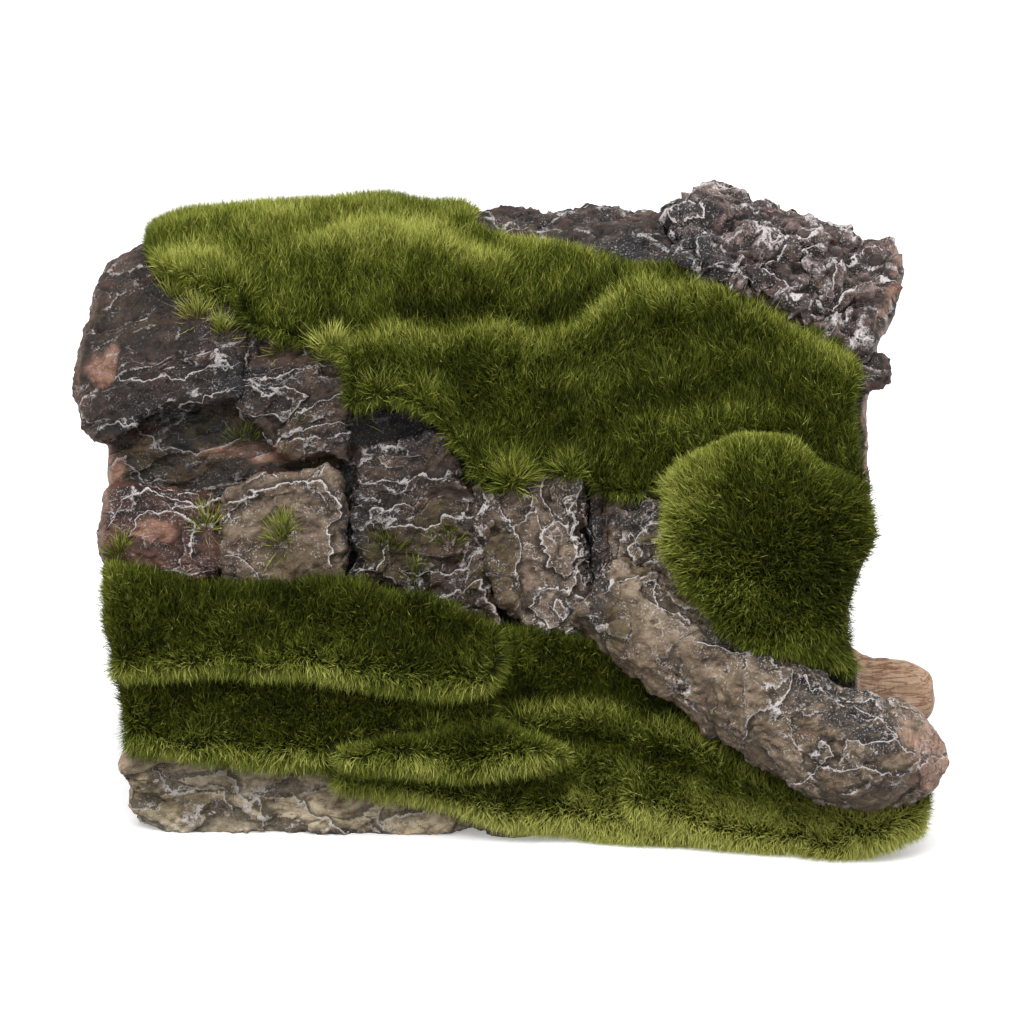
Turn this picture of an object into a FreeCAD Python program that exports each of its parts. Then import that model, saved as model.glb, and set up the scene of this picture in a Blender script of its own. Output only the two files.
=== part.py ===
import FreeCAD, Part
import math
import os

os.makedirs("parts", exist_ok=True)

# Resin cave ornament: a hollow half log that lies along X and is open at both
# ends, with bark, boulders and roots on its front and glued moss over them.
# All lengths in millimetres.  +Z is up and -Y is the decorated front.

LEAN = math.radians(15.0)        # the outlines are sketched on a plane leaning back by this much
SKETCH_FRONT = -57.0             # y where the sketch plane meets the floor
WALL = 8.0                       # resin wall of the hollow log
ROUNDNESS = 2.3                  # superellipse power of the arch (2 = ellipse)
CROWN_BED = 6.0                  # resin under the crown moss
SKIN = 3.3                       # height of a glued moss mat
REAR_START = 2.0                 # y from which the rear plates are pushed back
SECTION_STEP = 15.0              # spacing of the lofted arch sections
UNDER_FLOOR = -6.0               # the arches start below the floor and are cut off flat at z = 0
ARCH_POINTS = 15                 # points along each arch section

# x, reach to the front, reach to the rear, height of the bare log
LOG_STATIONS = [
    (-95, 38, 40, 92), (-75, 40, 41, 98), (-60, 41, 41, 102), (-25, 42, 42, 103.5),
    (10, 44, 42, 104), (40, 49, 43, 105), (65, 54, 42, 100), (95, 58, 40, 92),
]

# ---- outlines on the leaning sketch plane: (x, height up the plane) ----
LEFT_END = [
    (-67, -20), (-67, 2), (-73, 6), (-74, 20), (-75, 32), (-77.5, 45), (-78, 62), (-79, 79),
    (-83, 83), (-83, 92), (-80, 105), (-79, 116), (-76, 170),
]
RIGHT_END = [
    (74, 170), (75, 113), (71, 98), (68.5, 86), (68.5, 74), (70.5, 62), (65.5, 50), (65, 42),
    (67, 34), (69, 20), (68, -20),
]
# the pieces laid on the log keep inside this edge: down the left end, then up the right one
OUTER_EDGE = [
    (-78, 170), (-79.5, 115), (-81.5, 106), (-84, 97), (-85, 88), (-84, 83), (-80, 79.5),
    (-78.5, 76), (-79, 62), (-79.5, 55), (-79, 45), (-77, 33), (-75, 26), (-74.5, 20), (-75.5, 14),
    (-75, 9), (-72, 4), (-66, 0), (-60, -20), (62, -20), (65, -1.5), (73, 1.5), (79, 5), (81, 10),
    (80, 20), (67, 31), (64.5, 40), (64.5, 48), (66, 53), (69.5, 60), (68, 70), (66.5, 78),
    (66.5, 87), (70, 97), (74, 106), (75.5, 113), (76, 170),
]
CROWN = [
    (-72, 160), (-71, 117), (-69, 111), (-54.5, 106.5), (-50.5, 100.5), (-41, 99), (-34, 96),
    (-31, 91), (-32, 85.5), (-25.5, 87), (-18, 86), (-10, 77.5), (-7, 71.5), (-1.5, 69.5),
    (6.5, 75.5), (9.5, 71.5), (14, 72.5), (17, 68), (25, 68), (30, 71), (40, 60), (60, 60),
    (80, 66), (80, 84), (66.5, 94), (61.5, 99), (54, 103.5), (44, 108.5), (36.5, 112.5),
    (28.5, 112.5), (21, 114), (9.5, 117), (-0.5, 119), (-8, 121), (-12, 160),
]
RIDGE_LEFT = [
    (-12, 160), (-8, 121), (-0.5, 119), (9.5, 117), (21, 114), (28.5, 112.5), (31, 112),
    (30, 160),
]
RIDGE_KNOLL = [
    (30, 160), (31, 112), (36.5, 112.5), (44, 108.5), (54, 103.5), (57, 101.5), (60, 108),
    (62, 160),
]
RIDGE_RIGHT = [
    (62, 160), (60, 108), (57, 101.5), (61.5, 99), (66.5, 94), (80, 84), (85, 110), (85, 160),
]
LEFT_STUB = [
    (-73, 160), (-72, 117), (-69, 111), (-54.5, 106.5), (-51.5, 100.5), (-52.5, 88),
    (-70, 86), (-78, 79.5), (-90, 79), (-90, 160),
]
BARK_PLATE = [
    (-51.5, 100.5), (-41, 99), (-34, 96), (-31, 91), (-32.5, 81.5), (-31.5, 75.5), (-43, 76.5),
    (-50.5, 82.5), (-52.5, 88),
]
BOULDER_LEFT = [
    (-90, 57), (-90, 66), (-76, 70), (-70, 69.5), (-62.5, 68.5), (-57.5, 68),
    (-57, 52.5), (-62, 51.5), (-80, 56.5),
]
BOULDER_MIDDLE = [
    (-56, 68), (-52.5, 69.5), (-49, 72.5), (-37, 74), (-33.5, 71.5), (-32.5, 64),
    (-33.5, 52.5), (-41, 51.5), (-56, 51.5),
]
CENTER_SLAB = [
    (-30, 77.5), (-20, 79), (-14, 79.5), (-8, 70.5), (-8, 60), (-2.5, 48.5), (-2.5, 43),
    (-14, 47.5), (-30.5, 52.5),
]
PILLAR = [
    (-6.5, 70.5), (-1.5, 69), (5.5, 73), (13, 71.5), (13.5, 56), (15, 48.5), (14, 40.5),
    (6.5, 42.5), (-2, 48.5), (-7, 60),
]
RIGHT_SLAB = [
    (19.5, 67.5), (28.5, 68), (30.5, 56), (34.5, 48.5), (30, 38), (19, 40.5), (18.5, 52.5),
]
CUSHION = [
    (29.5, 71.5), (34.5, 75.5), (44, 79.5), (54, 79), (59.5, 73.5), (71.5, 69), (74, 60),
    (68, 48.5), (69, 33), (56, 37), (44, 40.5), (36.5, 46.5), (30.5, 56), (29.5, 64),
]
LEDGE_UPPER = [
    (-90, 58), (-80, 56), (-60.5, 51), (-33.5, 52), (-14, 47), (-2.5, 42.5), (-2, 36),
    (-5, 30.5), (-21.5, 31), (-41, 34), (-60.5, 35), (-90, 31),
]
LEDGE_MIDDLE = [
    (-90, 31), (-60.5, 35), (-41, 34), (-21.5, 31), (-5, 30.5), (-2, 24), (-34.5, 19.5),
    (-35, 15.5), (-60.5, 18), (-90, 21),
]
LEDGE_LOWER = [
    (-34.5, 19.5), (-2.5, 24), (12, 18.5), (9.5, 16.5), (-12, 14.5), (-31.5, 15.5),
]
SKIRT = [
    (-2, 42), (6, 42), (15, 40.5), (24, 38), (40, 30), (60, 26), (90, 20), (90, -20), (17, -20),
    (15, 2.5), (-2.5, 5.5), (-16, 9.5), (-35, 12), (-35, 15.5), (-12, 14.5), (9.5, 16.5),
    (12, 18.5), (-2, 24), (-5, 30.5), (-2, 36),
]
BASE_BARK = [
    (-90, 21), (-60.5, 18), (-35, 15.5), (-35, 12), (-16, 9.5), (-2.5, 5.5), (15, 2.5),
    (17, -20), (-90, -20),
]

# plan of the ragged seam along the top, behind which the rear plates lie: (x, y)
TOP_SEAM = [
    (-130, 13), (-80, 12), (-66, 16), (-52, 10), (-40, 12), (-28, 18), (-14, 14), (2, 19), (14, 12),
    (30, 15), (44, 10), (56, 16), (72, 12), (130, 14),
]

# ---- outlines seen from the rear: (x, z) ----
REAR_PLATE_LEFT = [
    (-90, 34), (-90, 120), (-30, 120), (-26, 92), (-33, 70), (-28, 50), (-36, 36), (-60, 30),
]
REAR_PLATE_RIGHT = [
    (-22, 120), (-19, 90), (-27, 70), (-22, 52), (-30, 38), (4, 33), (30, 40), (90, 36), (90, 120),
]
REAR_PLATE_LOW = [
    (-90, -5), (-90, 30), (-60, 26), (-34, 32), (4, 29), (30, 36), (52, 34), (56, 18), (55, -5),
]
REAR_MOSS = [
    (-62, 120), (-66, 96), (-54, 84), (-44, 88), (-31, 78), (-30, 92), (-34, 120),
]

# centre line of the big root that runs down the front: x, y, z, radius
FRONT_ROOT = [
    (17, -45, 49, 8.5), (31, -50, 40.5, 9.5), (46, -56, 31.5, 10.5), (60, -61, 23.5, 11),
    (71, -63, 20.5, 10), (79, -62.5, 18.6, 7), (83.5, -62, 17.5, 3.5),
]
REAR_ROOT = [
    (48, 36, 20, 7.5), (62, 31, 11.5, 7.5), (73, 27.5, 7.2, 7), (80.5, 26.5, 7, 6.4), (84, 26, 7, 3.4),
]
CREVICE_STEM = [(16.8, 71, 2.0), (17.4, 60, 2.3), (17.6, 49, 2.1), (17, 42, 1.6)]
TUFTS = [
    (-61, 106, 6.5), (-43, 93, 4.5), (-44, 60, 8), (-61, 62, 7), (-2, 66, 7), (10, 66, 7),
]
TUFT_RADIUS = 3.0
TUFT_HEIGHT = 3.2

Vec = FreeCAD.Vector


def log_size(x):
    """Front reach, rear reach and height of the bare log at x, blended smoothly."""
    for low, high in zip(LOG_STATIONS, LOG_STATIONS[1:]):
        if low[0] <= x <= high[0]:
            part = (x - low[0]) / (high[0] - low[0])
            ease = part * part * (3 - 2 * part)
            return [a + (b - a) * ease for a, b in zip(low[1:], high[1:])]
    raise ValueError("x is off the log")


def arch(grow):
    """The log's outside grown by a distance: a solid arch that starts below the floor."""
    wires = []
    x = -90.0
    while x <= 90.0:
        front, rear, height = log_size(x)
        points = []
        for i in range(ARCH_POINTS):
            angle = math.pi * i / (ARCH_POINTS - 1)
            along = math.copysign(abs(math.cos(angle)) ** (2 / ROUNDNESS), math.cos(angle))
            up = abs(math.sin(angle)) ** (2 / ROUNDNESS)
            reach = (rear if along > 0 else front) + grow
            rise = up * (height + grow - UNDER_FLOOR)
            points.append(Vec(x, along * reach, UNDER_FLOOR + rise))
        curve = Part.BSplineCurve()
        curve.interpolate(points)
        wires.append(Part.Wire([curve.toShape(), Part.makeLine(points[-1], points[0])]))
        x += SECTION_STEP
    return Part.makeLoft(wires, True, False)


ARCHES = {}


def grown(amount):
    """Keep each grown arch so that neighbours share exactly the same surface."""
    if amount not in ARCHES:
        ARCHES[amount] = arch(amount)
    return ARCHES[amount]


def on_plane(x, up):
    """Point on the leaning sketch plane."""
    rise = up - 57 * math.sin(LEAN)
    return Vec(x, rise * math.sin(LEAN), rise * math.cos(LEAN))


def on_log(x, up, grow):
    """Point of the grown arch's front that a sketch point is pushed on to."""
    front, _, height = log_size(x)
    low, high = -(front + grow), 0.0
    for _ in range(40):
        y = (low + high) / 2
        rise = (1 - (abs(y) / (front + grow)) ** ROUNDNESS) ** (1 / ROUNDNESS)
        z = UNDER_FLOOR + (height + grow - UNDER_FLOOR) * rise
        if z * math.cos(LEAN) + (y - SKETCH_FRONT) * math.sin(LEAN) < up:
            low = y
        else:
            high = y
    return Vec(x, y, z)


def flat_face(points):
    return Part.Face(Part.makePolygon(points + [points[0]]))


def pushed(outline):
    """Sketch outline pushed through the whole ornament, square to the sketch plane."""
    push = Vec(0, math.cos(LEAN), -math.sin(LEAN))
    face = flat_face([on_plane(x, up) for x, up in outline])
    face.translate(push * -110)
    return face.extrude(push * 220)


def pushed_back(outline):
    return flat_face([Vec(x, REAR_START, z) for x, z in outline]).extrude(Vec(0, 80, 0))


ENDS = pushed(LEFT_END + RIGHT_END)
FRONT_SPACE = flat_face(
    [Vec(x, y, 0) for x, y in [(130, -200), (-130, -200)] + TOP_SEAM]
).extrude(Vec(0, 0, 220))
ABOVE_FLOOR = Part.makeBox(260, 400, 220, Vec(-130, -200, 0))
OUTER_SPACE = pushed(OUTER_EDGE)


def layer(outline, low, high):
    """Part of the arch between two grown surfaces, inside an outline."""
    shape = grown(high).cut(grown(low)).common(pushed(outline))
    return shape.common(OUTER_SPACE).common(FRONT_SPACE)


def rear_layer(outline, low, high):
    shape = grown(high).cut(grown(low)).common(pushed_back(outline)).common(ENDS)
    return shape.common(ABOVE_FLOOR).cut(FRONT_SPACE)


def limb(stations):
    """Round limb through x, y, z, radius stations, each section square to the run."""
    rings = []
    for i, (x, y, z, radius) in enumerate(stations):
        before = stations[max(i - 1, 0)]
        after = stations[min(i + 1, len(stations) - 1)]
        run = Vec(*[after[k] - before[k] for k in range(3)])
        rings.append(Part.Wire(Part.makeCircle(radius, Vec(x, y, z), run)))
    return Part.makeLoft(rings, True, False)


def dome(center, reach_x, reach_y, reach_z):
    ball = Part.makeSphere(1.0)
    stretch = FreeCAD.Matrix()
    stretch.scale(reach_x, reach_y, reach_z)
    ball = ball.transformGeometry(stretch)
    ball.translate(center)
    return ball


def make_shell():
    return grown(0).cut(arch(-WALL)).common(ENDS).common(ABOVE_FLOOR)


def make_stem():
    rings = []
    for x, up, radius in CREVICE_STEM:
        spot = on_log(x, up, 2.0)
        rings.append(Part.Wire(Part.makeCircle(radius, spot, Vec(0, 0.2, 1))))
    return Part.makeLoft(rings, True, False).cut(grown(0))


def make_tufts():
    cones = []
    for x, up, grow in TUFTS:
        foot = on_log(x, up, grow)
        front, _, height = log_size(x)
        slope_y = (abs(foot.y) / (front + grow)) ** (ROUNDNESS - 1) / (front + grow)
        slope_z = (foot.z / (height + grow)) ** (ROUNDNESS - 1) / (height + grow)
        out = Vec(0, -slope_y, slope_z).normalize()
        cones.append(Part.makeCone(TUFT_RADIUS, 1.0, TUFT_HEIGHT, foot + out * 0.4, out))
    return Part.makeCompound(cones)


def biggest(shape):
    return max(shape.Solids, key=lambda solid: solid.Volume)


CUSHION_AT = on_log(50, 56, 0)
pieces = {}
pieces["log_shell"] = make_shell()
pieces["front_root"] = limb(FRONT_ROOT).cut(grown(0))
pieces["rear_root"] = biggest(limb(REAR_ROOT).cut(pieces["log_shell"]))
cushion_space = pushed(CUSHION).common(OUTER_SPACE)
pieces["cushion_core"] = dome(CUSHION_AT, 25.0, 16.0, 28.0).common(cushion_space).cut(grown(0))
pieces["moss_cushion"] = dome(CUSHION_AT, 28.0, 19.5, 31.0).common(cushion_space).cut(grown(0))
pieces["left_log_stub"] = layer(LEFT_STUB, 0, 6.5)
pieces["bark_plate_left"] = layer(BARK_PLATE, 0, 4.5)
pieces["boulder_left"] = layer(BOULDER_LEFT, 0, 7)
pieces["boulder_middle"] = layer(BOULDER_MIDDLE, 0, 8)
pieces["center_slab"] = layer(CENTER_SLAB, 0, 5.5)
pieces["crevice_stem"] = make_stem()
pieces["pillar_bark"] = layer(PILLAR, 0, 7)
pieces["right_slab"] = layer(RIGHT_SLAB, 0, 6)
pieces["ledge_upper"] = layer(LEDGE_UPPER, 0, 8)
pieces["ledge_middle"] = layer(LEDGE_MIDDLE, 0, 5.5)
pieces["ledge_lower"] = layer(LEDGE_LOWER, 0, 8)
pieces["skirt_bed"] = layer(SKIRT, 0, 5)
pieces["base_bark"] = layer(BASE_BARK, 0, 4)
pieces["crown_bed"] = layer(CROWN, 0, CROWN_BED)
pieces["ridge_bark_left"] = layer(RIDGE_LEFT, 0, 7.5)
pieces["ridge_knoll"] = layer(RIDGE_KNOLL, 0, 10.5)
pieces["ridge_bark_right"] = layer(RIDGE_RIGHT, 0, 8)
knot_at = on_log(67, 92.5, 3)
pieces["side_knot"] = Part.makeCone(4.2, 2.2, 6.5, knot_at, Vec(1, -0.1, 0.15))
pieces["moss_crown"] = layer(CROWN, CROWN_BED, CROWN_BED + SKIN)
pieces["moss_ledge_upper"] = layer(LEDGE_UPPER, 8, 8 + SKIN)
pieces["moss_ledge_middle"] = layer(LEDGE_MIDDLE, 5.5, 5.5 + SKIN)
pieces["moss_ledge_lower"] = layer(LEDGE_LOWER, 8, 8 + SKIN)
pieces["moss_skirt"] = layer(SKIRT, 5, 5 + SKIN)
pieces["rear_plate_left"] = rear_layer(REAR_PLATE_LEFT, 0, 5)
pieces["rear_plate_right"] = rear_layer(REAR_PLATE_RIGHT, 0, 6)
pieces["rear_plate_low"] = rear_layer(REAR_PLATE_LOW, 0, 4.5)
pieces["moss_rear"] = rear_layer(REAR_MOSS, 5, 5 + SKIN)

# where two pieces would claim the same room, the second gives way to the first
GIVE_WAY = [
    ("moss_cushion", ["cushion_core", "front_root"]),
    ("cushion_core", ["front_root"]),
    ("right_slab", ["front_root", "cushion_core", "moss_cushion"]),
    ("pillar_bark", ["front_root", "crevice_stem"]),
    ("right_slab", ["crevice_stem"]),
    ("crown_bed", ["cushion_core", "moss_cushion", "crevice_stem", "side_knot"]),
    ("moss_crown", ["cushion_core", "moss_cushion", "crevice_stem", "side_knot"]),
    ("skirt_bed", ["front_root", "crevice_stem", "cushion_core", "moss_cushion"]),
    ("moss_skirt", ["front_root", "crevice_stem", "cushion_core", "moss_cushion"]),
    ("side_knot", ["log_shell"]),
    ("ridge_bark_right", ["side_knot"]),
    ("rear_plate_right", ["rear_root"]),
    ("rear_plate_low", ["rear_root"]),
]
for name, firsts in GIVE_WAY:
    for first in firsts:
        pieces[name] = pieces[name].cut(pieces[first])

pieces["moss_tufts"] = make_tufts()


def worthwhile(shape):
    """The solids of a shape without slivers too small to cast."""
    solids = [solid for solid in shape.Solids if solid.Volume > 8.0]
    return solids[0] if len(solids) == 1 else Part.makeCompound(solids)


box = FreeCAD.BoundBox()
for name in pieces:
    pieces[name] = worthwhile(pieces[name])
    box.add(pieces[name].optimalBoundingBox(True, False))

# the origin is the middle of the ornament's base
shift = Vec(-(box.XMin + box.XMax) / 2, -(box.YMin + box.YMax) / 2, -box.ZMin)
print("size", round(box.XLength, 2), round(box.YLength, 2), round(box.ZLength, 2))
print("shift", tuple(round(value, 2) for value in shift))
for name, shape in pieces.items():
    shape = shape.translated(shift)
    shape.exportStep("parts/" + name + ".step")
    print(name, len(shape.Solids), round(shape.Volume), shape.isValid())
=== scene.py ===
import math

import bpy
import numpy as np
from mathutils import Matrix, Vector
from mathutils.bvhtree import BVHTree


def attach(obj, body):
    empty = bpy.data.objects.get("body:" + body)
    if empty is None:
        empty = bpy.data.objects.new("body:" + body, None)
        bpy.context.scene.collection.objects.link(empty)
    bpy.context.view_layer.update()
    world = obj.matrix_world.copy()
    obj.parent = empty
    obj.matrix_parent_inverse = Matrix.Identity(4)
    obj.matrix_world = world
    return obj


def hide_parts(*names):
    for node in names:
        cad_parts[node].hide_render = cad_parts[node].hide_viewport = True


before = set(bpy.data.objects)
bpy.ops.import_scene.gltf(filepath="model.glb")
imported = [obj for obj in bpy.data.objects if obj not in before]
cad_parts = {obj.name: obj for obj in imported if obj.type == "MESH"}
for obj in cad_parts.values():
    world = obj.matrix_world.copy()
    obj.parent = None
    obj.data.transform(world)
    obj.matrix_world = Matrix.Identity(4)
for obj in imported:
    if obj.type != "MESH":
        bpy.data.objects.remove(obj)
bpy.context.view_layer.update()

# Resin cave ornament: painted bark over a hollow half log, with mats of glued
# nylon moss.  Design lengths are in millimetres; Blender's unit is the metre.

MM = 0.001
SHIFT = np.array([0.26, 12.92, 0.0])    # from the design's own axes to the ornament's base centre
LEAN = math.radians(15.0)               # the front outlines lie on a plane leaning back by this
SKETCH_FRONT = -57.0                    # y where that plane meets the floor
COARSE = 1.1                            # grain of hidden pieces, mm
MEDIUM = 0.8
FINE = 0.42                             # grain of the bark that shows, mm

MOSS_DENSITY = 18.0                     # blades per square millimetre
BLADE_LENGTH = 3.0
ROOF_LENGTH = 1.6                       # blades on the cushion's flat top
BLADE_WIDTH = 0.16
TUFT_LENGTH = 4.6
TUFT_WIDTH = 0.17
TUFT_START = 200.0                      # how far out the search for a tuft's foot starts
MAT_DROP = 1.5                          # how far a mat is sunk to make room for its fibres

CUSHION_CENTER = np.array([50.0, 56.0])       # x and height on the sketch plane
CUSHION_HEART = np.array([50.0, -30.0, 54.0])   # inside the log, for the mat's bulge
CUSHION_FRONT = np.array([50.0, -46.0, 54.0])   # from where its fibres fan out

# Flake edges given on the sketch plane: how far the bark stands proud on the left of the
# line, in mm, and the line.  A line that ends where it starts is the outline of a plate.
EDGES = {
    "left_log_stub": [
        (0.9, [(-54, 90), (-61, 88), (-71, 84), (-79, 83)]),
        (0.6, [(-54, 94), (-64, 92), (-71, 91), (-77, 92)]),
    ],
    "bark_plate_left": [
        (1.3, [(-53, 88), (-50, 83), (-43, 85), (-41, 88), (-50, 90), (-53, 88)]),
        (1.0, [(-31, 88), (-35, 88), (-42, 85)]),
        (1.0, [(-31, 83), (-39, 83), (-46, 79), (-49, 80)]),
        (0.8, [(-36, 94), (-48, 91), (-53, 92)]),
    ],
    "log_shell": [
        (1.2, [(-52, 80), (-63, 77), (-68, 78), (-72, 81)]),
        (1.2, [(-68, 72), (-72, 72), (-75, 76), (-80, 74)]),
    ],
    "boulder_left": [
        (1.4, [(-54, 67), (-59, 67), (-71, 69), (-76, 68), (-79, 62)]),
        (0.5, [(-62, 58), (-61, 63), (-66, 65), (-72, 65), (-75, 61)]),
    ],
    "boulder_middle": [
        (1.4, [(-35, 56), (-34, 68), (-37, 72), (-45, 72), (-50, 70), (-55, 66)]),
    ],
    "center_slab": [
        (1.2, [(-3, 66), (-9, 65), (-15, 62), (-26, 65)]),
        (1.0, [(-25, 59), (-26, 54), (-31, 53)]),
        (1.2, [(-6, 63), (-7, 57), (-9, 55), (-15, 54), (-23, 57)]),
        (1.4, [(-3, 49), (-5, 53), (-13, 51), (-15, 48), (-12, 44), (-4, 43), (-3, 49)]),
        (0.9, [(-13, 72), (-18, 73), (-27, 71)]),
        (0.9, [(-20, 66), (-24, 67), (-28, 65), (-27, 62)]),
    ],
    "pillar_bark": [
        (1.3, [(5, 61), (7, 55), (10, 53), (13, 57), (12, 63), (9, 64), (5, 61)]),
        (1.0, [(11, 49), (14, 57), (13, 64), (13, 72)]),
        (0.8, [(8, 65), (7, 68), (8, 71)]),
        (1.2, [(15, 47), (10, 51), (6, 52), (3, 48), (6, 44), (12, 43), (15, 47)]),
        (0.9, [(11, 47), (9, 49), (7, 47), (9, 45), (11, 47)]),
        (0.8, [(1, 53), (3, 58), (0, 64)]),
    ],
    "right_slab": [(0.9, [(29, 62), (24, 61), (22, 58), (23, 53)])],
    "front_root": [
        (1.0, [(32, 54), (28, 53), (20, 53), (18, 50)]),
        (0.7, [(35, 43), (29, 47), (28, 53)]),
        (1.0, [(45, 21), (46, 25), (52, 29), (53, 33), (47, 39), (37, 40)]),
        (0.9, [(76, 19), (67, 27), (56, 32)]),
        (1.0, [(77, 17), (74, 15), (66, 15), (58, 17), (55, 14)]),
        (0.9, [(76, 20), (65, 22), (63, 18)]),
        (1.4, [(62, 19), (60, 21), (58, 19), (60, 17), (62, 19)]),
    ],
    "base_bark": [
        (0.8, [(-54, 8), (-55, 11), (-61, 12), (-66, 11), (-70, 15)]),
        (0.8, [(-49, 4), (-48, 9), (-53, 11), (-55, 15)]),
        (0.8, [(-32, 4), (-38, 6), (-42, 10)]),
        (0.7, [(-18, 7), (-25, 5), (-25, 9)]),
    ],
    "ridge_knoll": [
        (1.4, [(32, 123), (34, 121), (38, 122), (39, 124), (36, 125), (32, 123)]),
        (1.8, [(62, 122), (63, 120), (55, 119), (52, 117), (48, 120), (43, 120)]),
        (1.6, [(62, 120), (58, 115), (53, 116), (48, 112)]),
        (1.5, [(73, 109), (65, 108), (62, 106), (55, 106), (48, 111)]),
        (1.5, [(75, 115), (72, 117), (65, 113), (61, 109)]),
    ],
}
EDGES["ridge_bark_right"] = EDGES["ridge_knoll"][3:]

# Soft spots on the bark's front, the first list painted shade and the others washes of paint: x, height on
# the sketch plane, half width, half height.
SHADE_SPOTS = [
    (-22, 81, 12, 4), (36, 119, 6, 9), (42, 42, 6, 3), (52, 37, 6, 4), (59, 32, 8, 4),
    (66, 27, 7, 5), (71, 23, 5, 4), (-50, 91, 8, 3), (22, 115, 12, 4), (16, 56, 2, 14),
    (-31, 62, 2, 12), (25, 64, 8, 3), (-30, 3, 9, 1), (-8, 2, 10, 1),
]
TAN = [
    (-80, 94, 3, 4), (-79, 75, 3, 4), (-50, 77, 8, 2), (-70, 62, 4, 2), (81, 16, 4, 6), (77, 110, 2, 5),
    (75, 104, 2, 6), (73, 99, 1.5, 4),
]
ALGAE = [
    (-50, 78, 9, 3), (-22, 57, 8, 6), (-3, 55, 4, 9), (26, 59, 4, 6), (-41, 56, 7, 3),
    (-66, 8, 8, 4), (-14, 64, 6, 4), (20, 44, 5, 5),
]

# Crest lines of the moss: the side it stands proud on, by how much, and the line.
CRESTS = {
    "moss_crown": [
        ("below", 1.8, [(-40, 116), (-25, 120), (-14, 119), (0, 113)]),
        ("below", 2.6, [(-37, 98), (-28, 98), (-23, 100), (-14, 99), (-4, 101), (4, 99), (13, 101),
                        (17, 105), (24, 109), (42, 108), (51, 103), (67, 92)]),
        ("below", 1.2, [(20, 82), (45, 85), (58, 84)]),
        ("below", 1.4, [(-70, 112), (-63, 114), (-56, 114), (-50, 111)]),
    ],
    "moss_ledge_upper": [("above", 2.7, [(-84, 32), (-60, 35), (-41, 34), (-22, 31), (-5, 31),
                                         (1, 38)])],
    "moss_ledge_middle": [("above", 2.8, [(-84, 21), (-60, 18), (-35, 16), (-30, 17), (0, 22)])],
    "moss_ledge_lower": [("above", 3.0, [(-38, 18), (-31, 16), (-12, 15), (9, 17), (14, 18)])],
    "moss_skirt": [
        ("above", 2.4, [(-38, 12), (-16, 9), (-2, 5), (15, 3), (36, 2)]),
        ("above", 3.0, [(22, 8), (36, 3), (48, 0), (62, -1), (74, 2), (86, 6)]),
        ("below", 2.4, [(0, 27), (14, 27), (24, 25), (34, 22), (42, 17), (52, 11), (64, 8), (82, 9)]),
        ("below", 1.8, [(-4, 20), (20, 18), (32, 14), (44, 9), (60, 4)]),
    ],
    "moss_rear": [],
    "moss_cushion": [],
}

SUN = 2.2
WORLD_ABOVE = 0.9
WORLD_BELOW = 0.12
LENS = 400.0
SENSOR = 36.0
TARGET_HEIGHT = 52.5                    # of the point that the camera looks at
PICTURE_WIDTH = 202.5                   # millimetres across the picture at the ornament's middle


def srgb(red, green, blue):
    """Linear colour of a swatch given in 0 to 255."""
    parts = [c / 255 for c in (red, green, blue)]
    return [c / 12.92 if c < 0.04 else ((c + 0.055) / 1.055) ** 2.4 for c in parts] + [1.0]


# ---------------------------------------------------------------- noise

def lattice(cells, seed):
    """A repeatable random number from 0 to 1 for each whole-number cell."""
    mixed = cells[..., 0] * 374761393 + cells[..., 1] * 668265263 + cells[..., 2] * 2147483647
    mixed = (mixed + seed * 1274126177) & 0x7FFFFFFF
    mixed = ((mixed ^ (mixed >> 13)) * 1274126177) & 0x7FFFFFFF
    return ((mixed ^ (mixed >> 16)) & 0xFFFF) / 65535.0


def noise(points, seed=0):
    """Smooth value noise from -1 to 1."""
    cells = np.floor(points).astype(np.int64)
    part = points - cells
    ease = part * part * part * (part * (part * 6 - 15) + 10)
    total = np.zeros(len(points))
    for corner in range(8):
        step = np.array([corner & 1, (corner >> 1) & 1, (corner >> 2) & 1])
        weight = np.prod(np.where(step == 1, ease, 1 - ease), axis=1)
        total += weight * lattice(cells + step, seed)
    return total * 2 - 1


def fractal(points, octaves=4, seed=0, gain=0.5):
    """Noise summed over finer and finer grains."""
    total = np.zeros(len(points))
    size, weight = 1.0, 1.0
    for octave in range(octaves):
        total += noise(points / size + octave * 17.3, seed + octave) * weight
        size *= 0.5
        weight *= gain
    return total


def smoothstep(low, high, value):
    part = np.clip((value - low) / (high - low), 0.0, 1.0)
    return part * part * (3 - 2 * part)


# ---------------------------------------------------------------- mesh work

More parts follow.
